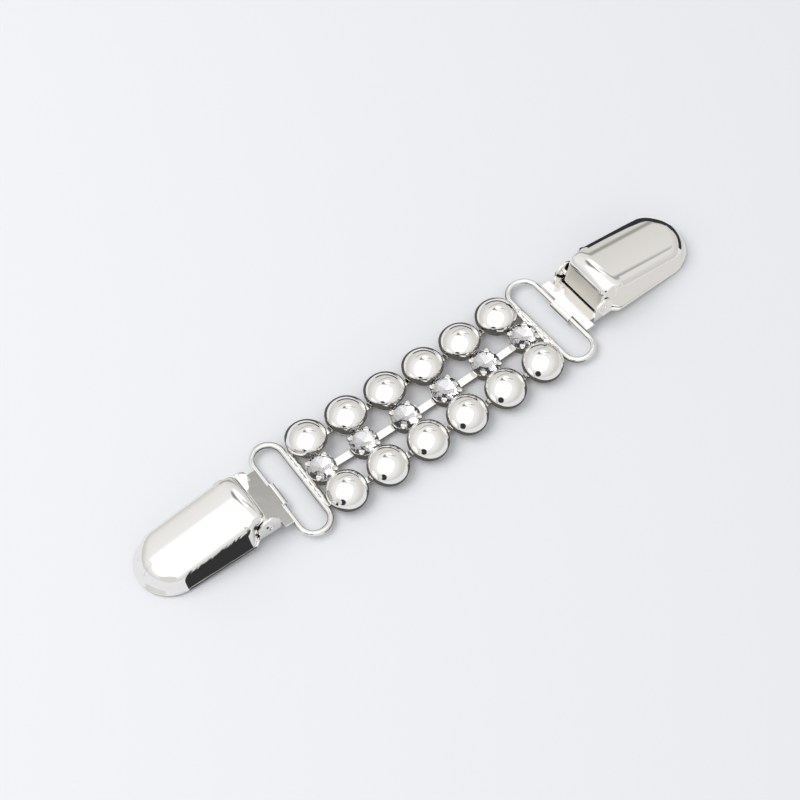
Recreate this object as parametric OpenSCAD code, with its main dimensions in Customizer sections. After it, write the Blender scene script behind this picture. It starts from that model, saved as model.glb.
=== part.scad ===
// Cinch clip: two lever clips on wire loops, joined by a flexible trim of
// cup-set crystals between two rows of half-round metal beads.
// Millimetres. The strip runs along X, +Y is the far side, +Z is up.
// The strip lies in a slight sideways bow, its ends drawn towards +Y. The origin
// is on the floor, under the middle of the whole.

/* [Trim] */
// Rows of bead, crystal, bead along the strip
row_count = 6; // [4:1:6]
// Diameter of a bead's cup rim
bead_d = 8; // [7:0.1:8.4]
// Height of a bead's dome above the cup rim
bead_rise = 3.2; // [2.6:0.1:3.6]
// Distance from bead to bead along the strip
bead_pitch = 9.2; // [9.1:0.1:9.6]
// Radius of the strip's sideways bow
bow_r = 525; // [400:25:2000]
// Distance of the bead rows from the middle line
bead_y = 6.87; // [6.6:0.01:7.4]
// Outward lean of the beads
bead_lean = 12.5; // [8:0.5:15]
// Height of the bead cup rims above the floor
rim_z = 2.5; // [2.3:0.1:2.8]
// Diameter of a bead cup where it stands on the floor
bead_foot_d = 5.2; // [4.8:0.1:5.6]
// Wall of the bead cups
bead_wall = 0.4; // [0.3:0.05:0.5]

/* [Crystals] */
// Diameter of a crystal
crystal_d = 5.4; // [5:0.1:5.6]
// Distance from crystal to crystal along the strip
crystal_pitch = 9.64; // [9.5:0.01:9.8]
// Height of a crystal's girdle above the floor
girdle_z = 2.5; // [2.4:0.1:2.8]
// Height of the crystal's crown above the girdle
crown_h = 0.95; // [0.7:0.05:1.1]
// Depth of the crystal's pavilion below the girdle
pavilion_h = 1.6; // [1.4:0.05:1.7]
// Outer diameter of a crystal cup at its rim
cup_d = 5.9; // [5.8:0.05:6.1]
// Outer diameter of a crystal cup at its foot
cup_foot_d = 4.9; // [4.8:0.1:5.2]
// Wall of the crystal cups
cup_wall = 0.4; // [0.35:0.05:0.45]
// Width of a claw
claw_w = 1; // [0.8:0.1:1.2]

/* [Links] */
// Thickness of the link strips
link_t = 0.4; // [0.3:0.05:0.5]
// Width of the flat bars between the crystal cups
bar_w = 1.5; // [1.2:0.1:1.6]
// Width of the short links between the beads
tab_w = 1.2; // [0.9:0.1:1.3]
// Height of the hinge lines above the floor
link_z = 1.1; // [1.05:0.01:1.15]
// How far one row can bend against the next
flex = 15; // [8:1:16]

/* [Wire loop] */
// Diameter of the wire
wire_d = 1.15; // [1:0.05:1.3]
// Distance between the loop's two straight bars
loop_pitch = 6.3; // [6.1:0.1:7.5]
// Width of the loop over its wire centres
loop_w = 21.6; // [20.8:0.1:24]
// Height of the wire's centre above the floor
wire_z = 1.4; // [1.3:0.05:1.6]
// Solder gap between the end crystal cup and the wire
solder_gap = 0.3; // [0.1:0.05:0.5]

/* [Clip plate] */
// Thickness of the plate and lever sheet
sheet_t = 0.5; // [0.4:0.05:0.6]
// Clearance of the tongue round the wire
swivel_gap = 0.06; // [0.04:0.01:0.08]
// Width of the jaw plate
jaw_w = 13.7; // [13.4:0.1:14.4]
// Length from the wire bar to the jaw plate's tip
jaw_len = 30.2; // [28:0.1:33]
// Step by which the jaw plate is coined below the flange
jaw_step = 0.1; // [0.05:0.01:0.15]
// Width of the flange behind the ears
flange_w = 13.3; // [13:0.1:14]
// Length of the flange's wide shoulders
shoulder_len = 1.9; // [1.5:0.1:2.2]
// Width of the tongue that wraps the wire
tongue_w = 5; // [4:0.1:6]
// Distance from the wire bar to the flange's rear edge
flange_rear = 0.35; // [0.2:0.05:0.5]

/* [Hinge] */
// Distance of the hinge pin from the wire bar
pin_u = 5; // [4.8:0.1:5.4]
// Height of the hinge pin above the plate
pin_h = 2; // [1.95:0.05:2.3]
// Diameter of the hinge pin
pin_d = 1; // [0.8:0.05:1.1]
// Clearance of the lever's cheeks on the pin
pin_gap = 0.05; // [0.03:0.01:0.08]
// Width over the outer faces of the ears
ear_w = 11.9; // [11.7:0.1:12.1]
// Radius of the ears' round top
ear_r = 2.3; // [2.1:0.05:2.4]
// Side clearance between the ears and the lever's neck
cheek_gap = 0.15; // [0.1:0.05:0.25]

/* [Lever] */
// Width of the lever
lever_w = 13.6; // [13.3:0.1:14]
// How far the lever's tip reaches beyond the jaw's
lever_over = 0.1; // [0:0.05:0.5]
// Height of the lever above the plate at its shoulders
lever_h = 7.1; // [6.8:0.1:7.5]
// Slope of the lever's top down to the tip
lever_fall = 9.4; // [8:0.2:10]
// Radius of the lever's turned edges
edge_r = 1.8; // [1.2:0.1:2]
// Gap between the lever's rim and the plate
rim_gap = 0.12; // [0.1:0.01:0.2]

/* [Grip pad] */
// From the jaw's tip back to the start of the pad
pad_back = 10.2; // [9:0.2:12]
// Length of the moulded pad
pad_len = 7; // [5:0.5:8]
// Width of the moulded pad
pad_w = 9; // [7:0.1:9.5]
// Thickness of the pad under its teeth
pad_t = 0.7; // [0.5:0.1:0.8]
// Height of the teeth
tooth_h = 0.8; // [0.5:0.1:0.9]
// Teeth along the pad
tooth_count = 5; // [3:1:6]
// Diameter of the pad's pegs
peg_d = 1.6; // [1.2:0.1:2]

/* [Hidden] */
ROWS = [1:row_count];
GAPS = [1:row_count - 1];
ENDS = ["left", "right"];

$fn = 48;
far = 1;
near = -1;
SIDES = [near, far];
beyond = 40;          // longer than any cut has to be
bite = 0.3;           // how far a lug or an end starts inside what it joins

// Each row has its own frame on the bow, with its beads at x = 0. The crystals
// are spaced a little wider than the beads, so each leads its row by a little.
function from_middle(k) = k - (row_count + 1) / 2;
function row_turn(k) = from_middle(k) * bead_pitch / bow_r * 180 / PI;
function lead(k) = from_middle(k) * (crystal_pitch - bead_pitch);
bar_x = lead(row_count) + cup_d / 2 + solder_gap + wire_d / 2;
swivel_x = bar_x + loop_pitch;

// Beads in their cups: a straight rim band over a cone that is cut off at the floor
bead_r = bead_d / 2;
dome_r = bead_r - 0.15;
ball_r = (pow(dome_r, 2) + pow(bead_rise, 2)) / (2 * bead_rise);
lip_h = 0.2;
band_h = 0.5;
waist_r = bead_r - 0.25;
axis_depth = rim_z / cos(bead_lean);
bead_taper = (waist_r - bead_foot_d / 2) / (axis_depth - band_h);
cone_reach = axis_depth + 1;
cup_floor = 0.3;
function bead_r_at(z) = waist_r - ((rim_z - z) / cos(bead_lean) - band_h) * bead_taper;

// Crystals in their cups
cup_foot_z = 0.1;
cup_rim_z = girdle_z - 0.05;
girdle_h = 0.2;
table_share = 0.57;
culet_d = 0.3;
claw_rise = 0.65;
claw_angles = [45, 135, 225, 315];
function cup_r_at(z) = (cup_foot_d + (cup_d - cup_foot_d) * (z - cup_foot_z) / (cup_rim_z - cup_foot_z)) / 2;

// Links are fixed in the outer row and hinge in the inner row. Their round
// ends lie on one line across the strip, inside the inner row's three cups.
hinge_in = 1.5;       // from the inner crystal's centre to the hinge line
head_r = 0.28;
head_over = 0.3;      // how far a round end sticks out past its slot's sides
slot_play = 0.15;     // above and below a strip at full bend, as the wall leans away from it
slot_side = 0.12;
function inward(g) = g > row_count / 2 ? -1 : 1;
function outer_row(g) = inward(g) > 0 ? g : g + 1;
function inner_row(g) = inward(g) > 0 ? g + 1 : g;
function hinge_x(g) = lead(inner_row(g)) - inward(g) * hinge_in;
tab_y = bead_y - (rim_z - link_z) * tan(bead_lean);

// Solder lugs between the cups and on the wire
lug_w = 1.5;
lug_t = 0.7;
lug_z = 1.25;

// Wire loop and the clip's wrap round it
wire_r = wire_d / 2;
corner_r = loop_pitch / 2 - 0.05;
straight = loop_w - 2 * corner_r;
wrap_in = wire_r + swivel_gap;
wrap_out = wrap_in + sheet_t;
wrap_end = 285;

// Clip, drawn along +X from the wire bar
plate_top = wrap_out;
jaw_z = wrap_in - jaw_step;
clip_tilt = atan2(jaw_z, jaw_len) + asin(wire_z / norm([jaw_z, jaw_len]));
pin_z = plate_top + pin_h;
pin_r = pin_d / 2;
pin_head_r = 0.85;
pin_head_h = 0.3;
ear_end = pin_u + ear_r;
ear_start = pin_u - ear_r;
ear_out = ear_w / 2;
ear_in = ear_out - sheet_t;
notch_v = 5.3;
jaw_root = ear_end + 1.2;

// Lever: its neck is a sheet that comes down between the ears, its broad part a
// shell with a sloping top
neck_out = ear_in - cheek_gap;
neck_in = neck_out - sheet_t;
shoulder_u = ear_end + 0.3;
shoulder_v = neck_out + 0.1;
broad_u = shoulder_u + lever_w / 2 - shoulder_v;
lever_rim_z = plate_top + rim_gap;
peak_z = plate_top + lever_h;
lever_len = jaw_len + lever_over;
spare = 2;            // how far the lever's uncut outline runs beyond its cuts
side_h = lever_h + spare;
neck_end = broad_u + 1;
cheek_rise = 0.4;
lobe_r = pin_d / 2 + 0.4;
// The neck's ridge and the top and foot of its end wall, from the pin and the peak
ridge_lead = 1.8;
ridge_drop = 0.3;
crest_lead = 0.2;
crest_lift = 0.05;
slope_drop = 0.4;
wall_lead = 1;
wall_drop = 1.5;
foot_back = 0.7;
foot_drop = 1.5;
foot_u = pin_u - foot_back;
foot_z = pin_z - foot_drop;
// side view of the neck from the broad part over the ridge and down the end wall
neck_line = [[neck_end, peak_z - slope_drop], [shoulder_u + crest_lead, peak_z + crest_lift],
             [pin_u + ridge_lead, peak_z - ridge_drop], [pin_u + wall_lead, peak_z - wall_drop],
             [foot_u, foot_z]];

// Middle of the whole across the strip, so that the origin can be put there
function bow_y(x, y, turn) = bow_r - (bow_r - y) * cos(turn) + x * sin(turn);
end_turn = row_turn(row_count);
far_edge = bow_y(swivel_x - corner_r, straight / 2, end_turn) + corner_r + wire_r;
near_edge = bow_y(0, -bead_y - bead_r * cos(bead_lean), row_turn(ceil(row_count / 2)));
mid_y = (far_edge + near_edge) / 2;

// Grip pad
pad_u = jaw_len - pad_back;
peg_deep = 0.3;
peg_v = pad_w / 4;

module mirrored(axis, s) {
    if (s > 0) children();
    else mirror(axis) children();
}
module both_sides() {
    for (s = SIDES) mirrored([0, 1, 0], s) children();
}

module in_row(k) {
    translate([0, bow_r - mid_y, 0]) rotate([0, 0, row_turn(k)]) translate([0, -bow_r, 0]) children();
}

// ---------- beads ----------
module at_bead(s) {
    translate([0, s * bead_y, rim_z]) rotate([-s * bead_lean, 0, 0]) children();
}
module above_floor(z) {
    intersection() {
        children();
        translate([-beyond, -beyond, z]) cube(2 * beyond);
    }
}

module bead(k, s) {
    color("gainsboro") in_row(k) at_bead(s) intersection() {
        translate([0, 0, bead_rise - ball_r]) sphere(r = ball_r, $fn = 64);
        cylinder(r = dome_r, h = 2 * bead_rise);
    }
}

module bead_cone(inset) {
    translate([0, 0, -cone_reach])
        cylinder(r1 = waist_r - (cone_reach - band_h) * bead_taper - inset,
                 r2 = waist_r - inset, h = cone_reach - band_h);
}
module bead_cup_solid(s) {
    above_floor(0) at_bead(s) {
        translate([0, 0, -band_h]) cylinder(r = bead_r, h = band_h + lip_h);
        bead_cone(0);
    }
}
module bead_cup(k, s) {
    color("silver") in_row(k) difference() {
        bead_cup_solid(s);
        at_bead(s) {
            cylinder(r = dome_r, h = beyond);
            translate([0, 0, -band_h - bite]) cylinder(r = waist_r - bead_wall, h = band_h + 2 * bite);
        }
        above_floor(cup_floor) at_bead(s) bead_cone(bead_wall);
        for (g = GAPS) if (inner_row(g) == k)
            slot(g, -inward(g) * bead_r_at(link_z), s * tab_y, tab_w, bead_wall);
    }
}

// ---------- crystals ----------
module crystal_shape() {
    r = crystal_d / 2;
    rotate_extrude() polygon([[0, -pavilion_h], [culet_d / 2, -pavilion_h], [r, -girdle_h / 2],
                              [r, girdle_h / 2], [r * table_share, crown_h], [0, crown_h]]);
}
module crystal(k) {
    color("white") in_row(k) translate([lead(k), 0, girdle_z]) crystal_shape();
}

module crystal_cup_solid(k) {
    translate([lead(k), 0, cup_foot_z])
        cylinder(d1 = cup_foot_d, d2 = cup_d, h = cup_rim_z - cup_foot_z);
}

// A claw stands on the cup's wall and bends in over the crown
module claw() {
    outer = cup_d / 2;
    inner = crystal_d / 2;
    rotate([90, 0, 0]) translate([0, 0, -claw_w / 2]) linear_extrude(claw_w) polygon([
        [outer - cup_wall, cup_rim_z - bite], [outer - 0.02, cup_rim_z - bite],
        [outer, girdle_z + girdle_h], [inner, girdle_z + claw_rise],
        [inner - 0.35, girdle_z + claw_rise + 0.15], [inner - 0.6, girdle_z + claw_rise],
        [inner - 0.6, girdle_z], [outer - cup_wall, girdle_z]]);
}

// Soldered lug from the crystal cup's flank to the bead cup beside it
module cup_lug(k, s) {
    way = [-lead(k), s * tab_y];
    start = cup_r_at(lug_z) - bite;
    translate([lead(k), 0, lug_z - lug_t / 2]) rotate([0, 0, atan2(way[1], way[0])])
        translate([start, -lug_w / 2, 0]) cube([norm(way) - start, lug_w, lug_t]);
}

module crystal_cup(k) {
    hollow_z = cup_foot_z + cup_floor;
    color("silver") in_row(k) difference() {
        union() {
            crystal_cup_solid(k);
            translate([lead(k), 0, 0]) for (a = claw_angles) rotate([0, 0, a]) claw();
            for (s = SIDES) cup_lug(k, s);
        }
        translate([lead(k), 0, hollow_z])
            cylinder(r1 = cup_r_at(hollow_z) - cup_wall, r2 = cup_d / 2 - cup_wall,
                     h = girdle_z - girdle_h / 2 - hollow_z);
        translate([lead(k), 0, girdle_z]) crystal_shape();
        for (g = GAPS) if (inner_row(g) == k)
            slot(g, lead(k) - inward(g) * cup_r_at(link_z), 0, bar_w, cup_wall);
        for (s = SIDES) bead_cup_solid(s);
    }
}

// ---------- links ----------
// Slot in a wall that faces gap g, high enough for the bend of one row on the next
module slot(g, wall_x, y, w, wall) {
    swing = abs(wall_x - hinge_x(g)) * tan(flex);
    half_h = link_t / 2 / cos(flex) + swing + slot_play;
    depth = 2 * (wall + bite);
    translate([wall_x - depth / 2, y - w / 2 - slot_side, link_z - half_h])
        cube([depth, w + 2 * slot_side, 2 * half_h]);
}

// Flat strip, in the inner row's frame, from the outer row to its round end
module strip(g, y, w) {
    from_x = hinge_x(g) - inward(g) * (bead_pitch - hinge_in);
    translate([min(from_x, hinge_x(g)), y - w / 2, link_z - link_t / 2])
        cube([abs(hinge_x(g) - from_x), w, link_t]);
    translate([hinge_x(g), y + w / 2 + head_over, link_z]) rotate([90, 0, 0])
        cylinder(r = head_r, h = w + 2 * head_over);
}
module crystal_bar(g) {
    color("white") difference() {
        in_row(inner_row(g)) strip(g, 0, bar_w);
        in_row(outer_row(g)) crystal_cup_solid(outer_row(g));
    }
}
module bead_tabs(g) {
    color("silver") for (s = SIDES) difference() {
        in_row(inner_row(g)) strip(g, s * tab_y, tab_w);
        in_row(outer_row(g)) bead_cup_solid(s);
    }
}

// ---------- wire loop ----------
module at_end(end) {
    mirrored([1, 0, 0], end) in_row(row_count) children();
}
module wire_bar(x) {
    translate([x, straight / 2, wire_z]) rotate([90, 0, 0]) cylinder(r = wire_r, h = straight);
}
module loop_wire() {
    short = loop_pitch - 2 * corner_r;
    for (x = [bar_x, swivel_x]) wire_bar(x);
    both_sides() translate([bar_x + loop_pitch / 2, straight / 2, wire_z]) {
        for (m = [-1, 1]) mirrored([1, 0, 0], m) translate([short / 2, 0, 0])
            rotate_extrude(angle = 90) translate([corner_r, 0]) circle(r = wire_r);
        translate([-short / 2, corner_r, 0]) rotate([0, 90, 0]) cylinder(r = wire_r, h = short);
    }
}
module wire_loop(end) {
    color("silver") at_end(end) loop_wire();
}

module end_solder(end) {
    color("lightgray") at_end(end) difference() {
        union() {
            solder_lug(lead(row_count), 0);
            for (s = SIDES) solder_lug(0, s * tab_y);
        }
        crystal_cup_solid(row_count);
        for (s = SIDES) bead_cup_solid(s);
        loop_wire();
    }
}
module solder_lug(x, y) {
    translate([x, y - lug_w / 2, wire_z - lug_t / 2]) cube([bar_x - x, lug_w, lug_t]);
}

// ---------- clip plate ----------
module at_clip(end) {
    at_end(end) translate([swivel_x, 0, wire_z]) rotate([0, clip_tilt, 0]) children();
}

module flange_outline() {
    corner_u = flange_rear + shoulder_len;
    half = flange_w / 2;
    polygon([[flange_rear, -half], [corner_u, -half], [corner_u, -notch_v], [ear_start, -notch_v],
             [ear_start, notch_v], [corner_u, notch_v], [corner_u, half], [flange_rear, half]]);
}
module jaw_outline() {
    half = jaw_w / 2;
    polygon([[ear_start, -ear_out], [ear_end, -ear_out], [jaw_root, -half], [jaw_len - half, -half],
             [jaw_len - half, half], [jaw_root, half], [ear_end, ear_out], [ear_start, ear_out]]);
    translate([jaw_len - half, 0]) circle(r = half, $fn = 96);
}
module ear() {
    translate([0, ear_out, 0]) rotate([90, 0, 0]) linear_extrude(sheet_t) {
        translate([ear_start, jaw_z]) square([2 * ear_r, pin_z - jaw_z]);
        translate([pin_u, pin_z]) circle(r = ear_r);
    }
}
// The tongue runs over the wire, down its inboard side and back under it
module tongue() {
    translate([0, -tongue_w / 2, wrap_in]) cube([flange_rear + bite, tongue_w, sheet_t]);
    translate([0, tongue_w / 2, 0]) rotate([90, 0, 0]) rotate([0, 0, 90])
        rotate_extrude(angle = wrap_end - 90) translate([wrap_in, 0]) square([sheet_t, tongue_w]);
}
module base_plate(end) {
    color("silver") at_clip(end) difference() {
        union() {
            translate([0, 0, wrap_in]) linear_extrude(sheet_t) flange_outline();
            translate([0, 0, jaw_z]) linear_extrude(plate_top - jaw_z) jaw_outline();
            both_sides() ear();
            tongue();
        }
        hinge_bore(pin_r, 0);
        pegs();
    }
}

// ---------- hinge ----------
// Bores or stubs through both sides of the clip, from the inner end v outwards
module hinge_bore(r, v) {
    both_sides() translate([pin_u, beyond, pin_z]) rotate([90, 0, 0]) cylinder(r = r, h = beyond - v);
}
// Two short rivets, one in each ear, that end inside the lever's cheeks
module hinge_pin(end) {
    inner_end = neck_in + 0.05;
    color("darkgray") at_clip(end) both_sides() {
        translate([pin_u, ear_out, pin_z]) rotate([90, 0, 0]) cylinder(r = pin_r, h = ear_out - inner_end);
        translate([pin_u, ear_out, pin_z]) rotate([-90, 0, 0])
            cylinder(r1 = pin_head_r, r2 = pin_r, h = pin_head_h);
    }
}

// ---------- lever ----------
// Across the broad part: its sides and its turned edges, the top at y = 0
module lever_section(inset) {
    half = lever_w / 2 - inset;
    r = edge_r - inset;
    translate([-half, -side_h]) square([2 * half, side_h - r]);
    translate([r - half, -side_h]) square([2 * (half - r), side_h]);
    for (s = SIDES) translate([s * (half - r), -r]) circle(r = r);
}
// Broad part, lying along its slope, with a round tip
module lever_body(inset) {
    reach = (lever_len - lever_w / 2 - broad_u) / cos(lever_fall);
    translate([broad_u, 0, peak_z]) rotate([0, lever_fall, 0]) translate([reach, 0, -inset]) {
        rotate([90, 0, -90]) linear_extrude(side_h + reach) lever_section(inset);
        rotate([0, 0, -90]) rotate_extrude(angle = 180) intersection() {
            lever_section(inset);
            translate([0, -side_h]) square([lever_w, side_h]);
        }
    }
}
// Plan of the two shoulders, wider than the lever behind them
module shoulder_outline() {
    wide = lever_w / 2 + spare;
    polygon([[shoulder_u, -shoulder_v], [broad_u + spare, -wide], [lever_len + spare, -wide],
             [lever_len + spare, wide], [broad_u + spare, wide], [shoulder_u, shoulder_v]]);
}
// Broad part cut flat at height z and to its shoulders
module lever_block(z, inset, back) {
    intersection() {
        lever_body(inset);
        translate([back, 0, z]) linear_extrude(peak_z + spare) shoulder_outline();
    }
}
// The neck's side view moved in by a sheet's thickness and closed along the foot points
module neck(half_w, inset, foot) {
    line = [for (p = neck_line) p + [inset, -inset]];
    translate([0, half_w, 0]) rotate([90, 0, 0]) linear_extrude(2 * half_w) polygon(concat(line, foot));
}
module lever(end) {
    cheek_foot = [[pin_u + wall_lead, foot_z], [shoulder_u, lever_rim_z + cheek_rise],
                  [neck_end, lever_rim_z + cheek_rise]];
    color("gainsboro") at_clip(end) difference() {
        union() {
            lever_block(lever_rim_z, 0, 0);
            neck(neck_out, 0, cheek_foot);
            both_sides() translate([pin_u, neck_out, pin_z]) rotate([90, 0, 0])
                cylinder(r = lobe_r, h = sheet_t);
        }
        lever_block(0, sheet_t, sheet_t * sqrt(2));
        neck(neck_in, sheet_t, [[foot_u + sheet_t, 0], [neck_end + sheet_t, 0]]);
        hinge_bore(pin_r + pin_gap, neck_in - 0.02);
    }
}

// ---------- grip pad ----------
module pegs() {
    for (s = SIDES) translate([pad_u + pad_len / 2, s * peg_v, plate_top - peg_deep])
        cylinder(d = peg_d, h = peg_deep + bite);
}
module grip_pad(end) {
    step = pad_len / tooth_count;
    saw = [for (i = [tooth_count - 1:-1:0]) each [[(i + 0.5) * step, pad_t + tooth_h], [i * step, pad_t]]];
    color("whitesmoke") at_clip(end) {
        translate([pad_u, pad_w / 2, plate_top]) rotate([90, 0, 0]) linear_extrude(pad_w)
            polygon(concat([[0, 0], [pad_len, 0], [pad_len, pad_t]], saw));
        pegs();
    }
}

for (k = ROWS) bead(k, far);
for (k = ROWS) bead(k, near);
for (k = ROWS) bead_cup(k, far);
for (k = ROWS) bead_cup(k, near);
for (k = ROWS) crystal(k);
for (k = ROWS) crystal_cup(k);
for (g = GAPS) crystal_bar(g);
for (g = GAPS) bead_tabs(g);
end_solder(-1);  // end_solder_left
end_solder(1);  // end_solder_right
wire_loop(-1);  // wire_loop_left
wire_loop(1);  // wire_loop_right
base_plate(-1);  // base_plate_left
base_plate(1);  // base_plate_right
hinge_pin(-1);  // hinge_pin_left
hinge_pin(1);  // hinge_pin_right
grip_pad(-1);  // grip_pad_left
grip_pad(1);  // grip_pad_right
lever(-1);  // lever_left
lever(1);  // lever_right
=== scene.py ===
"""A cardigan cinch clip: two metal lever clips on wire loops, joined by a trim of
cup-set crystals between two rows of half-round beads. Lengths are in metres."""
import math
import random

import bmesh
import bpy
from mathutils import Matrix, Vector
from mathutils.bvhtree import BVHTree


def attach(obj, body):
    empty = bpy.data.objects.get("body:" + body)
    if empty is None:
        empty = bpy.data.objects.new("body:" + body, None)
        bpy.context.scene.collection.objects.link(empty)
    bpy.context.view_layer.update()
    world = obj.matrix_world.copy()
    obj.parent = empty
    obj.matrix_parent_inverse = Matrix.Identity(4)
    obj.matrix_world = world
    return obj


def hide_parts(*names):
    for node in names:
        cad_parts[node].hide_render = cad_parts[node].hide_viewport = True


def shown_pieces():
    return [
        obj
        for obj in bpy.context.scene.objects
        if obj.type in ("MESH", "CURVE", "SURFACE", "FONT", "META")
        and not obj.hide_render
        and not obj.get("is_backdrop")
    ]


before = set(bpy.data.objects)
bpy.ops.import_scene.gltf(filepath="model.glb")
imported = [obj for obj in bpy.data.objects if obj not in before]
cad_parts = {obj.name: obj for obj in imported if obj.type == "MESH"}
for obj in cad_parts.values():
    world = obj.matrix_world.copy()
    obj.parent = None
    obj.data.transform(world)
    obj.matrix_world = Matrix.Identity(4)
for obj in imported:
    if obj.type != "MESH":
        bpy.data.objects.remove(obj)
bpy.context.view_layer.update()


# ---------- Camera and the photograph's points ----------
# The photograph looks down from the lower left of the clip with a long lens.
# Each point is where the middle or the edge of a thing shows in the 800 x 800 frame.
IMAGE_W, IMAGE_H = 800, 800
POINTS = {
    "left lever, leftmost": (134, 557.5),
    "left lever, bottom": (167, 595.5),
    "right lever, rightmost": (687, 253),
    "right lever, top": (642.7, 214.9),
    "far bead 1": (306, 436.5),
    "far bead 6": (494, 316),
    "near bead 1": (347.5, 490),
    "near bead 6": (540.5, 363.5),
    "crystal 1": (318.5, 466),
    "crystal 6": (521.5, 335),
    "left loop, bottom": (313.6, 535),
    "left loop, top": (271, 442.4),
    "right loop, bottom": (574.6, 364.4),
    "right loop, top": (527.4, 278.6),
    "left near dimple": (272, 528.5),
    "right near dimple": (604.6, 307),
}
lens = 121.5
camera_azimuth = math.radians(37.19)
camera_elevation = math.radians(58.49)
camera_distance = 0.5151
camera_target = Vector((-0.00257, 0.003944, 0))

away = Vector((math.sin(camera_azimuth), math.cos(camera_azimuth), 0))
forward = away * math.cos(camera_elevation) - Vector((0, 0, math.sin(camera_elevation)))
right = forward.cross(Vector((0, 0, 1))).normalized()
up = right.cross(forward)
camera = bpy.data.objects.new("camera", bpy.data.cameras.new("camera"))
camera.data.sensor_fit = "AUTO"
camera.data.sensor_width = 36
camera.data.lens = lens
camera.data.clip_start = 0.05
camera.data.clip_end = 20
camera.matrix_world = Matrix.Translation(camera_target - forward * camera_distance) @ Matrix(
    (right, up, -forward)).transposed().to_4x4()
bpy.context.scene.collection.objects.link(camera)
bpy.context.scene.camera = camera


def to_image(point):
    """Where a point of the frame shows, in the photograph's pixels."""
    seen = camera.matrix_world.inverted() @ Vector(point)
    scale = max(IMAGE_W, IMAGE_H) * camera.data.lens / camera.data.sensor_width / -seen.z
    return IMAGE_W / 2 + seen.x * scale, IMAGE_H / 2 - seen.y * scale


def meet(name, carriers):
    """Where the ray through an image point meets the carriers, and which way they face there."""
    x, y = POINTS[name]
    longest = max(IMAGE_W, IMAGE_H)
    ray = Vector((x - IMAGE_W / 2 + camera.data.shift_x * longest,
                  IMAGE_H / 2 - y + camera.data.shift_y * longest,
                  -longest * camera.data.lens / camera.data.sensor_width))
    eye = camera.matrix_world.translation
    ray = (camera.matrix_world.to_3x3() @ ray).normalized()
    corners, faces = [], []
    for carrier in carriers:
        faces += [[len(corners) + i for i in face.vertices] for face in carrier.data.polygons]
        corners += [carrier.matrix_world @ vertex.co for vertex in carrier.data.vertices]
    surface = BVHTree.FromPolygons(corners, faces)
    place, normal = surface.ray_cast(eye, ray)[:2]
    if place is None:
        middle = sum(corners, Vector()) / len(corners)
        place, normal = surface.find_nearest(eye + ray * (middle - eye).dot(ray))[:2]
    return place, normal


# ---------- Table and light ----------
# A white table under a big soft light from the upper left, inside a pale tent.
# The tent's seams and openings, and a few cards, show only as marks in metal and glass.
def linear(code):
    """An sRGB hex colour as the linear RGBA that Blender's sockets take."""
    parts = [int(code[i:i + 2], 16) / 255 for i in (1, 3, 5)]
    return [c / 12.92 if c < 0.04045 else ((c + 0.055) / 1.055) ** 2.4 for c in parts] + [1]


def add(tree, kind, inputs=(), **settings):
    """Adds a node with its settings. An input's value is a number, a colour or another node's socket."""
    node = tree.nodes.new(kind)
    for name, value in settings.items():
        setattr(node, name, value)
    for name, value in dict(inputs).items():
        if isinstance(value, bpy.types.NodeSocket):
            tree.links.new(value, node.inputs[name])
        else:
            node.inputs[name].default_value = value
    return node


def new_material(name):
    """An empty node material and its tree."""
    material = bpy.data.materials.new(name)
    material.use_nodes = True
    material.node_tree.nodes.clear()
    return material, material.node_tree


# The tent as the metal sees it. Each "way" is a direction from the clip; a seam lies in the
# plane across its way, and shows only near its middle.
backdrop = linear("#ecedef")
tent_low = linear("#d9d7d3")
tent_high = linear("#eceae7")
glow_white = linear("#fafafa")
pure_white = linear("#ffffff")
gap_grey = linear("#9b9995")
seam_grey = linear("#8f8d8a")
fill_white = linear("#f4f5f7")
fill_strength = 0.78
umbrella_strength = 1.25
umbrella_way = Vector((-0.3, -0.2, 0.93)).normalized()
umbrella_along = umbrella_way.cross(Vector((0.4, -0.9, 0.2))).normalized()
umbrella_across = umbrella_way.cross(umbrella_along)
umbrella_half_long = math.sin(math.radians(41))
umbrella_half_short = math.sin(math.radians(39))
umbrella_squareness = 2.5
gap_way = (0.19, 0.43, 0.88)
panel_way = (0.44, 0.4, 0.8)
seam_way = (0.316, 0.799, -0.512)
seam_middle = (0.62, 0.22, 0.75)
brow_way = (-0.059, 0.61, -0.79)
brow_middle = (0.41, 0.74, 0.54)
seam_depth = 0.8

bpy.context.scene.view_settings.view_transform = "Standard"
world = bpy.data.worlds.new("tent")
world.use_nodes = True
bpy.context.scene.world = world
tree = world.node_tree
tree.nodes.clear()
path = add(tree, "ShaderNodeLightPath")
heading = add(tree, "ShaderNodeTexCoord").outputs["Generated"]

# Round masks fade from 0 to 1 between two cosines of the angle from their way.
masks = {}
for name, way, none, full in (
        ("height", (0, 0, 1), 0, 0.9), ("glow", umbrella_way, 0.15, 0.8),
        ("front", umbrella_way, 0.5, 0.6), ("gap", gap_way, 0.977, 0.99),
        ("panel", panel_way, 0.97, 0.985), ("seam", seam_middle, 0.955, 0.985),
        ("brow", brow_middle, 0.84, 0.95)):
    nearness = add(tree, "ShaderNodeVectorMath", {0: heading, 1: Vector(way).normalized()},
                   operation="DOT_PRODUCT")
    masks[name] = add(tree, "ShaderNodeMapRange", {
        "Value": nearness.outputs["Value"], "From Min": none, "From Max": full},
        interpolation_type="SMOOTHSTEP").outputs[0]

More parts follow.
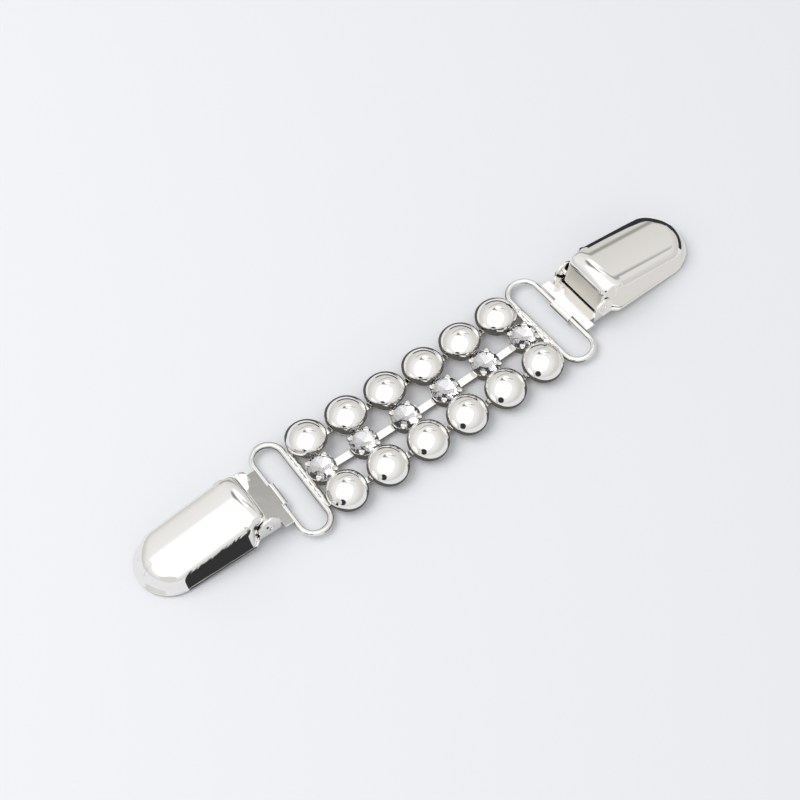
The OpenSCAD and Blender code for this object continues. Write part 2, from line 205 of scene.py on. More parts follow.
seams = []
for name, way, wide in (("seam", seam_way, 0.045), ("brow", brow_way, 0.05)):
    off_plane = add(tree, "ShaderNodeVectorMath", {0: heading, 1: Vector(way).normalized()},
                    operation="DOT_PRODUCT")
    distance = add(tree, "ShaderNodeMath", {0: off_plane.outputs["Value"]}, operation="ABSOLUTE")
    stripe = add(tree, "ShaderNodeMapRange", {"Value": distance.outputs[0], "From Min": wide,
                                              "From Max": 0.012}, interpolation_type="SMOOTHSTEP")
    seams.append(add(tree, "ShaderNodeMath", {0: stripe.outputs[0], 1: masks[name]},
                     operation="MULTIPLY"))
either = add(tree, "ShaderNodeMath", {0: seams[0].outputs[0], 1: seams[1].outputs[0]},
             operation="MAXIMUM")
seam_mask = add(tree, "ShaderNodeMath", {0: either.outputs[0], 1: seam_depth}, operation="MULTIPLY")

sides = []
for way, half in ((umbrella_along, umbrella_half_long), (umbrella_across, umbrella_half_short)):
    off_middle = add(tree, "ShaderNodeVectorMath", {0: heading, 1: way}, operation="DOT_PRODUCT")
    share = add(tree, "ShaderNodeMath", {0: off_middle.outputs["Value"], 1: half}, operation="DIVIDE")
    size = add(tree, "ShaderNodeMath", {0: share.outputs[0]}, operation="ABSOLUTE")
    sides.append(add(tree, "ShaderNodeMath", {0: size.outputs[0], 1: umbrella_squareness},
                     operation="POWER"))
total = add(tree, "ShaderNodeMath", {0: sides[0].outputs[0], 1: sides[1].outputs[0]}, operation="ADD")
within = add(tree, "ShaderNodeMapRange", {"Value": total.outputs[0], "From Min": 1.12, "From Max": 0.86},
             interpolation_type="SMOOTHSTEP")
umbrella = add(tree, "ShaderNodeMath", {0: within.outputs[0], 1: masks["front"]}, operation="MULTIPLY")

colour = tent_low
for mask, shade in (
        (masks["height"], tent_high), (masks["glow"], glow_white), (masks["gap"], gap_grey),
        (masks["panel"], pure_white), (seam_mask.outputs[0], seam_grey),
        (umbrella.outputs[0], pure_white), (path.outputs["Is Camera Ray"], backdrop)):
    layer = add(tree, "ShaderNodeMix", {"Factor": mask, 6: colour, 7: shade}, data_type="RGBA")
    colour = layer.outputs[2]
bright = add(tree, "ShaderNodeMath", {0: umbrella.outputs[0], 1: masks["panel"]}, operation="MAXIMUM")
strength = add(tree, "ShaderNodeMapRange", {"Value": bright.outputs[0], "To Min": 1,
                                            "To Max": umbrella_strength})
fill = add(tree, "ShaderNodeBackground", {"Color": fill_white, "Strength": fill_strength})
shown = add(tree, "ShaderNodeBackground", {"Color": colour, "Strength": strength.outputs[0]})
mirror_ray = add(tree, "ShaderNodeMath", {
    0: path.outputs["Is Glossy Ray"], 1: path.outputs["Is Camera Ray"]}, operation="MAXIMUM")
clear_ray = add(tree, "ShaderNodeMath", {
    0: path.outputs["Is Transmission Ray"], 1: mirror_ray.outputs[0]}, operation="MAXIMUM")
both = add(tree, "ShaderNodeMixShader", {
    0: clear_ray.outputs[0], 1: fill.outputs[0], 2: shown.outputs[0]})
add(tree, "ShaderNodeOutputWorld", {"Surface": both.outputs[0]})

# White laminate: a dull, even white that takes a soft shadow.
table_material, tree = new_material("white_laminate_table")
table_shader = add(tree, "ShaderNodeBsdfPrincipled", {"Base Color": linear("#ebecee"), "Roughness": 0.6,
                                                      "Specular IOR Level": 0.2})
add(tree, "ShaderNodeOutputMaterial", {"Surface": table_shader.outputs[0]})
table_drop = 0.00003
bpy.ops.mesh.primitive_plane_add(size=6, location=(0, 0, -table_drop))
table = bpy.context.object
table.name = "table"
table.data.materials.append(table_material)
table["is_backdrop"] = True

# A big softbox at the upper left. In the metal the tent's umbrella stands for it.
lamp_place = Vector((-0.33, 0.2, 0.62))
lamp = bpy.data.objects.new("softbox", bpy.data.lights.new("softbox", "AREA"))
lamp.data.shape = "RECTANGLE"
lamp.data.size, lamp.data.size_y = 0.62, 0.4
lamp.data.energy = 2.35
lamp.visible_glossy = False
lamp.matrix_world = (Matrix.Translation(lamp_place)
                     @ lamp_place.to_track_quat("Z", "Y").to_matrix().to_4x4())
bpy.context.scene.collection.objects.link(lamp)

# The way from the clip to the tent's opening, and the two ways across it.
opening = Vector((-0.76, -0.58, 0.27)).normalized()
opening_right = opening.cross((0, 0, 1)).normalized()
opening_up = opening_right.cross(opening)


def card_stock(name, code):
    """Plain card that shows its own colour, whatever light falls on it."""
    material, tree = new_material(name)
    glow = add(tree, "ShaderNodeEmission", {"Color": linear(code), "Strength": 1})
    add(tree, "ShaderNodeOutputMaterial", {"Surface": glow.outputs[0]})
    return material


def card(name, stock, *sheets):
    """A card of one or more flat sheets, given by their corners, that shows only in metal and glass."""
    mesh = bpy.data.meshes.new(name)
    corners, faces = [], []
    for outline in sheets:
        faces.append(range(len(corners), len(corners) + len(outline)))
        corners += [Vector(corner) for corner in outline]
    mesh.from_pydata(corners, [], faces)
    mesh.materials.append(stock)
    sheet = bpy.data.objects.new(name, mesh)
    bpy.context.scene.collection.objects.link(sheet)
    sheet.visible_camera = sheet.visible_diffuse = sheet.visible_shadow = False
    sheet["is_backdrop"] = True


def disc(middle, half_wide, half_high):
    """Corners of a round card that stands across the way to the tent's opening."""
    angles = [math.tau * i / 24 for i in range(24)]
    return [middle + opening_right * (half_wide * math.cos(a)) + opening_up * (half_high * math.sin(a))
            for a in angles]


black_card = card_stock("black_card", "#363738")
painted_shade_card = card_stock("painted_shade_card", "#5c5a57")
white_card = card_stock("white_card", "#e4e2df")

# The tent's opening is the dark dot in the near beads, the far edge of the table is the dark line at their
# tops, and a grey card under the trim paints in the shade there, which the far beads mirror as their dark
# outline.
card("tent_opening", black_card, disc(opening * 0.92, 0.22, 0.24))
card("painted_shade_under_trim", painted_shade_card, [(-0.031, -0.0145, 0.00002), (0.031, -0.0145, 0.00002),
                                     (0.031, 0.021, 0.00002), (-0.031, 0.021, 0.00002)])
card("far_edge", black_card, [(0.1, 0.62, 0.0), (0.65, 0.2, 0.0), (0.65, 0.2, 0.09), (0.1, 0.62, 0.09)])


# ---------- Plated metal ----------
# Brass and steel, pressed or drawn and then plated bright: a cool, almost white mirror with
# the faint waves of a thin pressed sheet and fine rubbing marks, here about 0.17 mm apart.
mm = 0.001
rubs_per_metre = 6000


def plated(name, code, roughness, wave_mm, wave, scratch):
    """Plating with slow waves, wave_mm apart and wave mm high, and scratches scratch mm deep."""
    material, tree = new_material(name)
    place = add(tree, "ShaderNodeTexCoord").outputs["Object"]
    waves = add(tree, "ShaderNodeTexNoise", {"Vector": place, "Scale": 1 / (wave_mm * mm), "Detail": 2})
    rubs = add(tree, "ShaderNodeTexNoise", {"Vector": place, "Scale": rubs_per_metre, "Detail": 3})
    slow = add(tree, "ShaderNodeBump", {"Height": waves.outputs["Fac"], "Distance": wave * mm,
                                        "Strength": 1})
    fine = add(tree, "ShaderNodeBump", {"Height": rubs.outputs["Fac"], "Distance": scratch * mm,
                                        "Strength": 1, "Normal": slow.outputs[0]})
    shader = add(tree, "ShaderNodeBsdfPrincipled", {
        "Base Color": linear(code), "Metallic": 1, "Roughness": roughness, "Normal": fine.outputs[0]})
    add(tree, "ShaderNodeOutputMaterial", {"Surface": shader.outputs[0]})
    return material


# Rhodium on pressed brass: the beads are the cleanest mirror, the cups are a little duller.
bead_plate = plated("rhodium_plated_bead", "#f2f1ef", 0.05, 4, 0.006, 0.0003)
cup_plate = plated("rhodium_plated_cup", "#e8e6e3", 0.12, 2, 0.006, 0.0008)
# Painted shade: a dull brown-grey line where the dome meets its cup, standing for the shade in the gap
# there.
bead_rim_painted_shade = plated("painted_shade_bead_rim", "#5b5854", 0.3, 2, 0.01, 0.002)
# Bright nickel on drawn steel sheet and on round wire: a mirror with longer waves.
sheet_plate = plated("nickel_plated_sheet", "#f0efed", 0.06, 7, 0.006, 0.0004)
wire_plate = plated("nickel_plated_wire", "#eeedeb", 0.09, 5, 0.004, 0.0005)
# Rougher nickel in the lever's end wall, with a painted reflection: the warm beige that the wall mirrors
# is painted into its colour, a warm, blurred grey.
end_wall_painted_beige = plated("end_wall_painted_beige_nickel", "#dcd7cf", 0.38, 3, 0.01, 0.002)
# Satin nickel on the stamped plates: it blurs what it mirrors, so it reads as flat grey or white.
satin_plate = plated("satin_nickel_plate", "#f6f5f3", 0.12, 3, 0.008, 0.0012)
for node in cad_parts.values():
    node.data.materials.clear()
    node.data.materials.append(sheet_plate)


# ---------- Beads ----------
# Twelve half-round brass beads, pressed and plated, each pushed into a tapered cup.
# They stand in two rows that lean outwards, on a slight bow, with the crystals between them.
row_count = 6
middle_row = (row_count + 1) / 2
bow_radius = 525 * mm
middle_y = 0.73628 * mm
bead_pitch = 9.2 * mm
bead_side = 6.87 * mm
bead_lean = math.radians(12.5)
rim_height = 2.5 * mm
bead_radius = 4.06 * mm
bead_wall = 0.05 * mm
bead_rise = 3.2 * mm
cap_rise = 2.4 * mm
cap_foot = bead_rise - cap_rise
skirt = 0.25 * mm
dome_steps = 28


def row_place(k):
    """The place of row k on the bow."""
    turn = (k - middle_row) * bead_pitch / bow_radius
    return (Matrix.Translation((0, bow_radius - middle_y, 0)) @ Matrix.Rotation(turn, 4, "Z")
            @ Matrix.Translation((0, -bow_radius, 0)))


def turned(profile, steps):
    """A mesh turned round Z from (radius, height) points, which run from the axis back to the axis."""
    bm = bmesh.new()
    rings = []
    for radius, height in profile:
        if radius < 1e-9:
            rings.append([bm.verts.new((0, 0, height))])
        else:
            rings.append([bm.verts.new((radius * math.cos(math.tau * i / steps),
                                        radius * math.sin(math.tau * i / steps), height))
                          for i in range(steps)])
    for low, high in zip(rings, rings[1:]):
        for i in range(steps):
            corners = list(dict.fromkeys([low[i % len(low)], low[(i + 1) % len(low)],
                                          high[(i + 1) % len(high)], high[i % len(high)]]))
            if len(corners) > 2:
                bm.faces.new(corners)
    bmesh.ops.recalc_face_normals(bm, faces=bm.faces)
    mesh = bpy.data.meshes.new("turned")
    bm.to_mesh(mesh)
    bm.free()
    return mesh


def grown(mesh, tree, sizes):
    """The plain mesh that a Geometry Nodes tree makes of a mesh, with its named sizes."""
    host = bpy.data.objects.new("host", mesh)
    bpy.context.scene.collection.objects.link(host)
    modifier = host.modifiers.new("grow", "NODES")
    modifier.node_group = tree
    for item in tree.interface.items_tree:
        if item.in_out == "INPUT" and item.name in sizes:
            modifier[item.identifier] = sizes[item.name]
    made = bpy.data.meshes.new_from_object(host.evaluated_get(bpy.context.evaluated_depsgraph_get()))
    bpy.data.objects.remove(host)
    return made


def new_tree(name, sizes):
    """An empty Geometry Nodes tree with a mesh in, a mesh out and its named sizes."""
    tree = bpy.data.node_groups.new(name, "GeometryNodeTree")
    tree.interface.new_socket("Geometry", in_out="INPUT", socket_type="NodeSocketGeometry")
    for size in sizes:
        tree.interface.new_socket(size, in_out="INPUT", socket_type="NodeSocketFloat")
    tree.interface.new_socket("Geometry", in_out="OUTPUT", socket_type="NodeSocketGeometry")
    return tree, add(tree, "NodeGroupInput")


def ship(name, mesh, material, body, finish, *nodes, sharp=35):
    """Shades one finished mesh, ties it to its body and shows it for the CAD nodes it stands for."""
    for face in mesh.polygons:
        face.use_smooth = True
    mesh.set_sharp_from_angle(angle=math.radians(sharp))
    if material:
        mesh.materials.clear()
        mesh.materials.append(material)
    piece = bpy.data.objects.new(name, mesh)
    bpy.context.scene.collection.objects.link(piece)
    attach(piece, body)
    if nodes:
        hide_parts(*nodes)
    return piece


dome_radius = (bead_radius ** 2 + cap_rise ** 2) / (2 * cap_rise)
rim_angle = math.asin(bead_radius / dome_radius)
dome = [(dome_radius * math.sin(rim_angle * i / dome_steps),
         bead_rise - dome_radius * (1 - math.cos(rim_angle * i / dome_steps))) for i in range(dome_steps)]
dome += [(bead_radius - 0.03 * mm, cap_foot - 0.05 * mm), (bead_radius, cap_foot - 0.16 * mm)]
inside = [(max(radius - bead_wall, 0), height - bead_wall) for radius, height in dome]
inside[0] = (0, inside[0][1])
bead_foot = [(bead_radius - bead_wall, -skirt), (bead_radius, -skirt)]
bead_mesh = turned(inside + bead_foot + dome[::-1], 96)

# The tree leans one bead outwards at its place in the far row, and turns a copy of it half
# way round for the near row.
bead_tree, sizes = new_tree("bead_pair", ["Side", "Height", "Lean"])
at_far = add(bead_tree, "ShaderNodeCombineXYZ", {"Y": sizes.outputs["Side"],
                                                 "Z": sizes.outputs["Height"]})
outwards = add(bead_tree, "ShaderNodeMath", {0: sizes.outputs["Lean"], 1: -1}, operation="MULTIPLY")
lean_far = add(bead_tree, "ShaderNodeCombineXYZ", {"X": outwards.outputs[0]})
far = add(bead_tree, "GeometryNodeTransform", {
    "Geometry": sizes.outputs["Geometry"], "Translation": at_far.outputs[0],
    "Rotation": lean_far.outputs[0]})
places = add(bead_tree, "GeometryNodeMeshLine", {"Count": 2, "Offset": (0, 0, 0)})
index = add(bead_tree, "GeometryNodeInputIndex")
half_turn = add(bead_tree, "ShaderNodeMath", {0: index.outputs[0], 1: math.pi}, operation="MULTIPLY")
angles = add(bead_tree, "ShaderNodeCombineXYZ", {"Z": half_turn.outputs[0]})
rotation = add(bead_tree, "FunctionNodeEulerToRotation", {0: angles.outputs[0]})
pair = add(bead_tree, "GeometryNodeInstanceOnPoints", {
    "Points": places.outputs[0], "Instance": far.outputs[0], "Rotation": rotation.outputs[0]})
real = add(bead_tree, "GeometryNodeRealizeInstances", {0: pair.outputs[0]})
finish = add(bead_tree, "GeometryNodeSetMaterial", {"Geometry": real.outputs[0], "Material": bead_plate})
add(bead_tree, "NodeGroupOutput", {0: finish.outputs[0]})

# The short upright wall under each dome gets the painted shade: a thin dark line at the cup's rim.
painted_shade_faces = {face.index for face in bead_mesh.polygons
              if abs(face.normal.z) < 0.2 and face.center.to_2d().length > bead_radius - 0.02 * mm}
for k in range(1, row_count + 1):
    mesh = grown(bead_mesh.copy(), bead_tree, {
        "Side": bead_side, "Height": rim_height, "Lean": bead_lean})
    mesh.materials.append(bead_rim_painted_shade)
    for face in mesh.polygons:
        if face.index % len(bead_mesh.polygons) in painted_shade_faces:
            face.material_index = 1
    mesh.transform(row_place(k))
    ship(f"beads_row_{k}", mesh, None, f"row_{k}", "bead_shell", f"bead_far_{k}", f"bead_near_{k}")


# ---------- Cups ----------
# The stamped brass cups that hold the beads and the crystals: the CAD's own shapes,
# with their cut edges broken as plating and tumbling leave them.
def refined(node, edge, segments=2):
    """A copy of a CAD node's mesh with its doubles merged and its sharp edges broken."""
    bm = bmesh.new()
    bm.from_mesh(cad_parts[node].data)
    bmesh.ops.remove_doubles(bm, verts=bm.verts, dist=1e-7)
    bmesh.ops.dissolve_limit(bm, angle_limit=math.radians(0.6), verts=bm.verts, edges=bm.edges)
    for face in bm.faces:
        face.smooth = True
    mesh = bpy.data.meshes.new(node)
    bm.to_mesh(mesh)
    bm.free()
    host = bpy.data.objects.new("host", mesh)
    bpy.context.scene.collection.objects.link(host)
    bevel = host.modifiers.new("edge", "BEVEL")
    bevel.width = edge
    bevel.segments = segments
    bevel.limit_method = "ANGLE"
    bevel.angle_limit = math.radians(30)
    bevel.use_clamp_overlap = True
    flat = host.modifiers.new("flat", "WEIGHTED_NORMAL")
    flat.mode = "FACE_AREA"
    flat.weight = 100
    flat.keep_sharp = True
    made = bpy.data.meshes.new_from_object(host.evaluated_get(bpy.context.evaluated_depsgraph_get()))
    bpy.data.objects.remove(host)
    return made


for k in range(1, row_count + 1):
    for name in (f"bead_cup_far_{k}", f"bead_cup_near_{k}"):
        ship(name + "_edged", refined(name, 0.06 * mm), cup_plate, f"row_{k}", "cup_metal", name)
    name = f"crystal_cup_{k}"
    ship(name + "_edged", refined(name, 0.08 * mm), cup_plate, f"row_{k}", "cup_metal", name)


# ---------- Crystals ----------
# Six cut lead-glass chatons: a flat table, a crown of star and kite facets, and a
# pavilion that is silvered at the back, as rhinestones are.
crystal_radius = 2.92 * mm
crystal_pitch = 9.64 * mm
table_radius = 1.6 * mm
crown_height = 0.93 * mm
star_radius = 2.4 * mm
star_height = 0.55 * mm
girdle_half = 0.09 * mm
back_radius = 1.7 * mm
back_depth = 0.42 * mm
point_radius = 0.12 * mm
foil_depth = 0.66 * mm
facets = 8
painted_shade_share = 0.45
turn_per_row = 0.37
spots_per_metre = 900

# Lead glass, cut and polished: clear, with sharp bright and dark facets.
cut_glass, tree = new_material("cut_lead_glass")
shader = add(tree, "ShaderNodeBsdfPrincipled", {
    "Base Color": linear("#ffffff"), "Roughness": 0, "IOR": 1.56, "Transmission Weight": 1})
add(tree, "ShaderNodeOutputMaterial", {"Surface": shader.outputs[0]})
# Silver foil fired on the back: it throws the light back, a little cloudy in 1 mm spots.
silvering, tree = new_material("mirror_foil")
place = add(tree, "ShaderNodeTexCoord").outputs["Object"]
spots = add(tree, "ShaderNodeTexNoise", {"Vector": place, "Scale": spots_per_metre})
dull = add(tree, "ShaderNodeMapRange", {0: spots.outputs["Fac"], 1: 0.3, 2: 0.7, 3: 0.02, 4: 0.1})
shader = add(tree, "ShaderNodeBsdfPrincipled", {"Base Color": linear("#d6d6d8"), "Metallic": 1,
                                                "Roughness": dull.outputs[0]})
add(tree, "ShaderNodeOutputMaterial", {"Surface": shader.outputs[0]})
# Painted shade: some back facets near the edge are dark grey, for the dark specks where the crystal sits
# in its cup.
painted_shade_facet, tree = new_material("painted_shade_back_facet")
shader = add(tree, "ShaderNodeBsdfPrincipled", {"Base Color": linear("#3a3937"), "Roughness": 0.4})
add(tree, "ShaderNodeOutputMaterial", {"Surface": shader.outputs[0]})


def ring(bm, radius, height, count, offset):
    """Adds count corners round the axis, turned by offset of a step."""
    for i in range(count):
        angle = math.tau * (i + offset) / count
        bm.verts.new((radius * math.cos(angle), radius * math.sin(angle), height))


def crystal_place(k):
    """The place of the crystal cup of row k: the crystals step a little wider than the beads."""
    return row_place(k) @ Matrix.Translation(((k - middle_row) * (crystal_pitch - bead_pitch), 0, 0))


bm = bmesh.new()
ring(bm, table_radius, crown_height, facets, 0)
ring(bm, star_radius, star_height, facets, 0.5)
ring(bm, crystal_radius, girdle_half, 2 * facets, 0)
ring(bm, crystal_radius, -girdle_half, 2 * facets, 0)
ring(bm, back_radius, -back_depth, facets, 0.5)
ring(bm, point_radius, -foil_depth, facets, 0)
bmesh.ops.convex_hull(bm, input=bm.verts)
bmesh.ops.dissolve_limit(bm, angle_limit=math.radians(1), verts=bm.verts, edges=bm.edges)
bmesh.ops.recalc_face_normals(bm, faces=bm.faces)
# Painted shade: a share of the back facets near the edge, drawn at random, turn dark.
shade_draw = random.Random(11)
for face in bm.faces:
    face.material_index = 1 if face.normal.z < -0.2 else 0
    near_girdle = face.calc_center_median().to_2d().length > 2.2 * mm
    if face.material_index == 1 and near_girdle and shade_draw.random() < painted_shade_share:
        face.material_index = 2
crystal_mesh = bpy.data.meshes.new("crystal")
bm.to_mesh(crystal_mesh)
bm.free()
for material in (cut_glass, silvering, painted_shade_facet):
    crystal_mesh.materials.append(material)
for k in range(1, row_count + 1):
    mesh = crystal_mesh.copy()
    mesh.transform(crystal_place(k) @ Matrix.Translation((0, 0, rim_height))
                   @ Matrix.Rotation(turn_per_row * k, 4, "Z"))
    ship(f"cut_crystal_{k}", mesh, None, f"row_{k}", "crystal", f"crystal_{k}", sharp=3)

# Four claws of each crystal cup, bent over the crystal's edge and rubbed round.
claw_radius = 0.42 * mm
claw_rise = 0.42 * mm
claw_in = 0.12 * mm
claw_tree, sizes = new_tree("claws", ["Radius", "Height", "Size"])
places = add(claw_tree, "GeometryNodeMeshCircle", {"Vertices": 4, "Radius": sizes.outputs["Radius"]})
lift = add(claw_tree, "ShaderNodeCombineXYZ", {"Z": sizes.outputs["Height"]})
lifted = add(claw_tree, "GeometryNodeTransform", {
    "Geometry": places.outputs[0], "Rotation": (0, 0, math.radians(45)), "Translation": lift.outputs[0]})
drop = add(claw_tree, "GeometryNodeMeshUVSphere", {"Segments": 24, "Rings": 14,
                                                   "Radius": sizes.outputs["Size"]})
claws = add(claw_tree, "GeometryNodeInstanceOnPoints", {
    "Points": lifted.outputs[0], "Instance": drop.outputs[0], "Scale": (1.1, 1.1, 0.8)})
real = add(claw_tree, "GeometryNodeRealizeInstances", {0: claws.outputs[0]})
finish = add(claw_tree, "GeometryNodeSetMaterial", {"Geometry": real.outputs[0], "Material": cup_plate})
add(claw_tree, "NodeGroupOutput", {0: finish.outputs[0]})
for k in range(1, row_count + 1):
    mesh = grown(bpy.data.meshes.new("seed"), claw_tree, {
        "Radius": crystal_radius - claw_in, "Height": rim_height + claw_rise, "Size": claw_radius})
    mesh.transform(crystal_place(k))
    ship(f"claw_beads_{k}", mesh, None, f"row_{k}", "cup_metal")


# ---------- Links and solder ----------
# Flat strips punched from plated sheet join the cups, and three lumps of solder at
# each end hold the last row to its wire loop.
for g in range(1, row_count):
    outer = g if g <= row_count / 2 else g + 1
    for name in (f"crystal_bar_{g}", f"bead_tabs_{g}"):
        ship(name + "_edged", refined(name, 0.08 * mm), sheet_plate, f"row_{outer}", "link_metal", name)
for end, k in (("left", 1), ("right", row_count)):
    ship(f"solder_{end}", refined(f"end_solder_{end}", 0.2 * mm, 3), cup_plate, f"row_{k}", "link_metal",
         f"end_solder_{end}")


# ---------- Wire loops ----------
# A long loop of round plated wire at each end, closed by the solder on its inner bar.
wire_radius = 0.575 * mm
wire_height = 1.4 * mm
loop_pitch = 6.3 * mm
loop_width = 21.6 * mm
corner_radius = 3.1 * mm
bar_x = 4.925 * mm

loop_tree, sizes = new_tree("wire_loop", ["Pitch", "Width", "Corner", "Wire"])
flat_loop = add(loop_tree, "GeometryNodeCurvePrimitiveQuadrilateral", {
    "Width": sizes.outputs["Pitch"], "Height": sizes.outputs["Width"]})
bent_loop = add(loop_tree, "GeometryNodeFilletCurve", {
    "Curve": flat_loop.outputs[0], "Radius": sizes.outputs["Corner"], "Count": 20, "Limit Radius": True},
    mode="POLY")
wire = add(loop_tree, "GeometryNodeCurvePrimitiveCircle", {"Resolution": 32,
                                                           "Radius": sizes.outputs["Wire"]})
tube = add(loop_tree, "GeometryNodeCurveToMesh", {"Curve": bent_loop.outputs[0],
                                                  "Profile Curve": wire.outputs[0]})
real = add(loop_tree, "GeometryNodeRealizeInstances", {0: tube.outputs[0]})
finish = add(loop_tree, "GeometryNodeSetMaterial", {"Geometry": real.outputs[0], "Material": wire_plate})
add(loop_tree, "NodeGroupOutput", {0: finish.outputs[0]})


def at_end(mesh, end):
    """Puts a mesh made for the right-hand end in its place, or mirrors it to the left."""
    mesh.transform(row_place(row_count))
    if end == "left":
        mesh.transform(Matrix.Scale(-1, 4, (1, 0, 0)))
        mesh.flip_normals()
    return mesh


for end, k in (("left", 1), ("right", row_count)):
    mesh = grown(bpy.data.meshes.new("seed"), loop_tree, {
        "Pitch": loop_pitch, "Width": loop_width, "Corner": corner_radius, "Wire": wire_radius})
    mesh.transform(Matrix.Translation((bar_x + loop_pitch / 2, 0, wire_height)))
    ship(f"loop_{end}", at_end(mesh, end), None, f"row_{k}", "wire", f"wire_loop_{end}")


# ---------- Solder runs ----------
# Along each loop's inner bar the soft solder has run out between the cups: a bright,
# flat, slightly lumpy bead of tin.
run_half = 7.4 * mm
run_half_wide = 0.85 * mm
run_half_high = 0.4 * mm
run_in = 0.42 * mm
run_lift = 0.22 * mm
lump = 0.05
waves_per_mm = (1.1, 2.3, 3.9)
run_steps = 90
run_sides = 20
for end, k in (("left", 1), ("right", row_count)):
    lumps = random.Random(3 + k)
    phases = [lumps.uniform(0, math.tau) for wave in waves_per_mm]
    bm = bmesh.new()
    rows = []
    for i in range(run_steps + 1):
        y = run_half * (2 * i / run_steps - 1)
        waves = [math.sin(y / mm * wave + phase) for wave, phase in zip(waves_per_mm, phases)]
        size = (1 + lump * sum(waves)) * math.sqrt(max(1 - (y / run_half) ** 6, 0.001))
        row = []
        for j in range(run_sides):
            angle = math.tau * j / run_sides
            row.append(bm.verts.new((bar_x - run_in + run_half_wide * size * math.cos(angle), y,
                                     wire_height + run_lift + run_half_high * size * math.sin(angle))))
        rows.append(row)
    for low, high in zip(rows, rows[1:]):
        for j in range(run_sides):
            bm.faces.new((low[j - 1], low[j], high[j], high[j - 1]))
    bm.faces.new(rows[0])
    bm.faces.new(rows[-1])
    bmesh.ops.recalc_face_normals(bm, faces=bm.faces)
    mesh = bpy.data.meshes.new("solder_run")
    bm.to_mesh(mesh)
    bm.free()
    ship(f"solder_run_{end}", at_end(mesh, end), wire_plate, f"row_{k}", "link_metal")


# ---------- Clip plates, pads and rivets ----------
# Each clip is a stamped plate whose tongue wraps the wire and whose two ears carry the
# rivets; a moulded pad with teeth is pegged to it under the lever.
haze_per_metre = 700

# Clear soft PVC, moulded: it lets light through, and is milky in patches about 1.4 mm wide.
pad_plastic, tree = new_material("clear_pvc")
place = add(tree, "ShaderNodeTexCoord").outputs["Object"]
haze = add(tree, "ShaderNodeTexNoise", {"Vector": place, "Scale": haze_per_metre})
milky = add(tree, "ShaderNodeMapRange", {0: haze.outputs["Fac"], 1: 0.3, 2: 0.7, 3: 0.3, 4: 0.45})
shader = add(tree, "ShaderNodeBsdfPrincipled", {"Base Color": linear("#eef0f0"), "IOR": 1.53,
                                                "Roughness": milky.outputs[0], "Transmission Weight": 0.5})
add(tree, "ShaderNodeOutputMaterial", {"Surface": shader.outputs[0]})

plates, rivets = {}, {}
for end in ("left", "right"):
    clip = f"clip_{end}"
    plates[end] = ship(f"plate_{end}", refined(f"base_plate_{end}", 0.09 * mm), satin_plate, clip,
                       "clip_plate", f"base_plate_{end}")
    rivets[end] = ship(f"rivets_{end}", refined(f"hinge_pin_{end}", 0.12 * mm, 3), sheet_plate, clip,
                       "pin_metal", f"hinge_pin_{end}")
    ship(f"pad_{end}", refined(f"grip_pad_{end}", 0.08 * mm), pad_plastic, clip, "pad_plastic",
         f"grip_pad_{end}")


# ---------- Levers ----------
# Each lever is one sheet of steel, drawn into a long shallow cap with a round tip: its
# top is slightly crowned, its edges are rolled over, and at the back it narrows at two
# shoulders to a neck that turns down over a ridge to an end wall between the ears.
swivel_x = bar_x + loop_pitch
clip_tilt = math.radians(3.67155)

# The lever is drawn in millimetres: u along the clip, v across it and w up.
sheet = 0.5
plate_top = 1.135
lever_half = 6.8
tip_u = 23.5
shoulder_u = 7.6
broad_u = 9.0
neck_half = 5.3
wall_u = 5.0
wall_back = 0.7
lever_peak = plate_top + 7.1
lever_rim = plate_top + 0.12
neck_rim = plate_top + 0.5
lever_slope = math.tan(math.radians(9.4))
crest_u = 8.6
ridge_drop = 0.12
crown = 0.6
crown_v = 5
side_draft = 0.5
tip_draft = 0.7
neck_roll = 0.5
broad_roll = 1.4
rear_roll_in, rear_roll_up = 0.65, 0.9
tip_roll_in, tip_roll_up = 0.8, 0.3
rolled_steps = 9
inner_steps = 14


def clip_place(mesh, end):
    """Puts a mesh drawn in millimetres along the clip, as (u, v, w), in the clip's place."""
    mesh.transform(Matrix.Translation((swivel_x, 0, wire_height)) @ Matrix.Rotation(clip_tilt, 4, "Y")
                   @ Matrix.Scale(mm, 4))
    return at_end(mesh, end)


def blend(value, start, end):
    """A smooth step of a number from 0 at start to 1 at end."""
    t = min(max((value - start) / (end - start), 0), 1)
    return t * t * (3 - 2 * t)


def rounded(corners, step):
    """Points along a closed outline whose (u, v, radius) corners are rounded, about step apart."""
    arcs = []
    for i, (u, v, radius) in enumerate(corners):
        here = Vector((u, v))
        into = (here - Vector(corners[i - 1][:2])).normalized()
        out = (Vector(corners[(i + 1) % len(corners)][:2]) - here).normalized()
        turn = into.angle_signed(out)
        reach = radius * math.tan(abs(turn) / 2)
        middle = here - into * reach + into.orthogonal() * (-radius if turn > 0 else radius)
        start = here - into * reach - middle
        count = max(2, round(radius * abs(turn) / step) + 1)
        arcs.append([middle + Matrix.Rotation(-turn * j / (count - 1), 2) @ start for j in range(count)])
    points = []
    for i, arc in enumerate(arcs):
        points += arc
        gap = arcs[(i + 1) % len(arcs)][0] - arc[-1]
        count = round(gap.length / step)
        points += [arc[-1] + gap * j / count for j in range(1, count)]
    return points


def lever_top(u, v):
    """Height of the lever's top: a slope from the crest to the tip, and a drop to the ridge."""
    slope = lever_peak - (u - broad_u) * lever_slope
    return slope - ridge_drop * max(crest_u - u, 0) ** 2 - crown * (v / crown_v) ** 2


tip_radius = lever_half - 0.01
outline = rounded([
    (wall_u, -neck_half, 1.25), (shoulder_u, -neck_half - 0.05, 0.3), (broad_u, -lever_half, 1.6),
    (tip_u + lever_half, -lever_half, tip_radius), (tip_u + lever_half, lever_half, tip_radius),
    (broad_u, lever_half, 1.6), (shoulder_u, neck_half + 0.05, 0.3), (wall_u, neck_half, 1.25)], 0.4)
tangents = [(outline[(i + 1) % len(outline)] - outline[i - 1]).normalized() for i in range(len(outline))]
inward = [Vector((-t.y, t.x)) for t in tangents]


